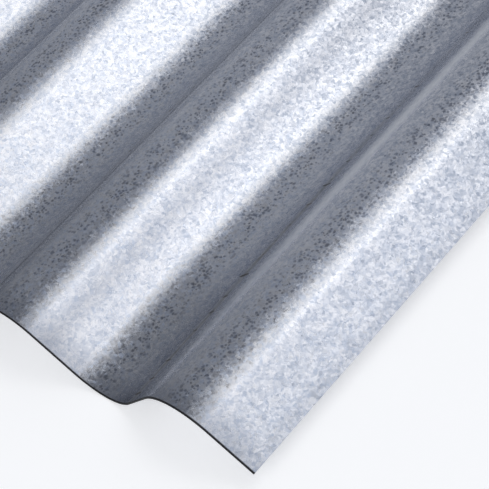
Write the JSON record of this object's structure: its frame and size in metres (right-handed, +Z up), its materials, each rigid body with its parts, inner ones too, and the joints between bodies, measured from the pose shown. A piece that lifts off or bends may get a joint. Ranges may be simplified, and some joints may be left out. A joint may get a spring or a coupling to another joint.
{
  "type": "corrugated metal sheet",
  "caption": "Sheet of thin galvanised steel rolled into rounded waves with straight flanks between them, both side edges turned down and both ends cut square.",
  "frame": {"origin": "under the middle of the sheet, on the level surface that its valleys rest on", "axes": "+X across the waves, towards the corner that the picture shows; +Y along the waves, away from the cut end that the picture shows; +Z up, out of the upper face"},
  "size_m": [0.6608, 1.8288, 0.0194],
  "materials": {
    "galvanised_steel": "hot-dip galvanised, unpainted, fine spangle, satin to bright"
  },
  "bodies": {
    "root": {"corrugated_sheet": "galvanised_steel"}
  },
  "joints": []
}
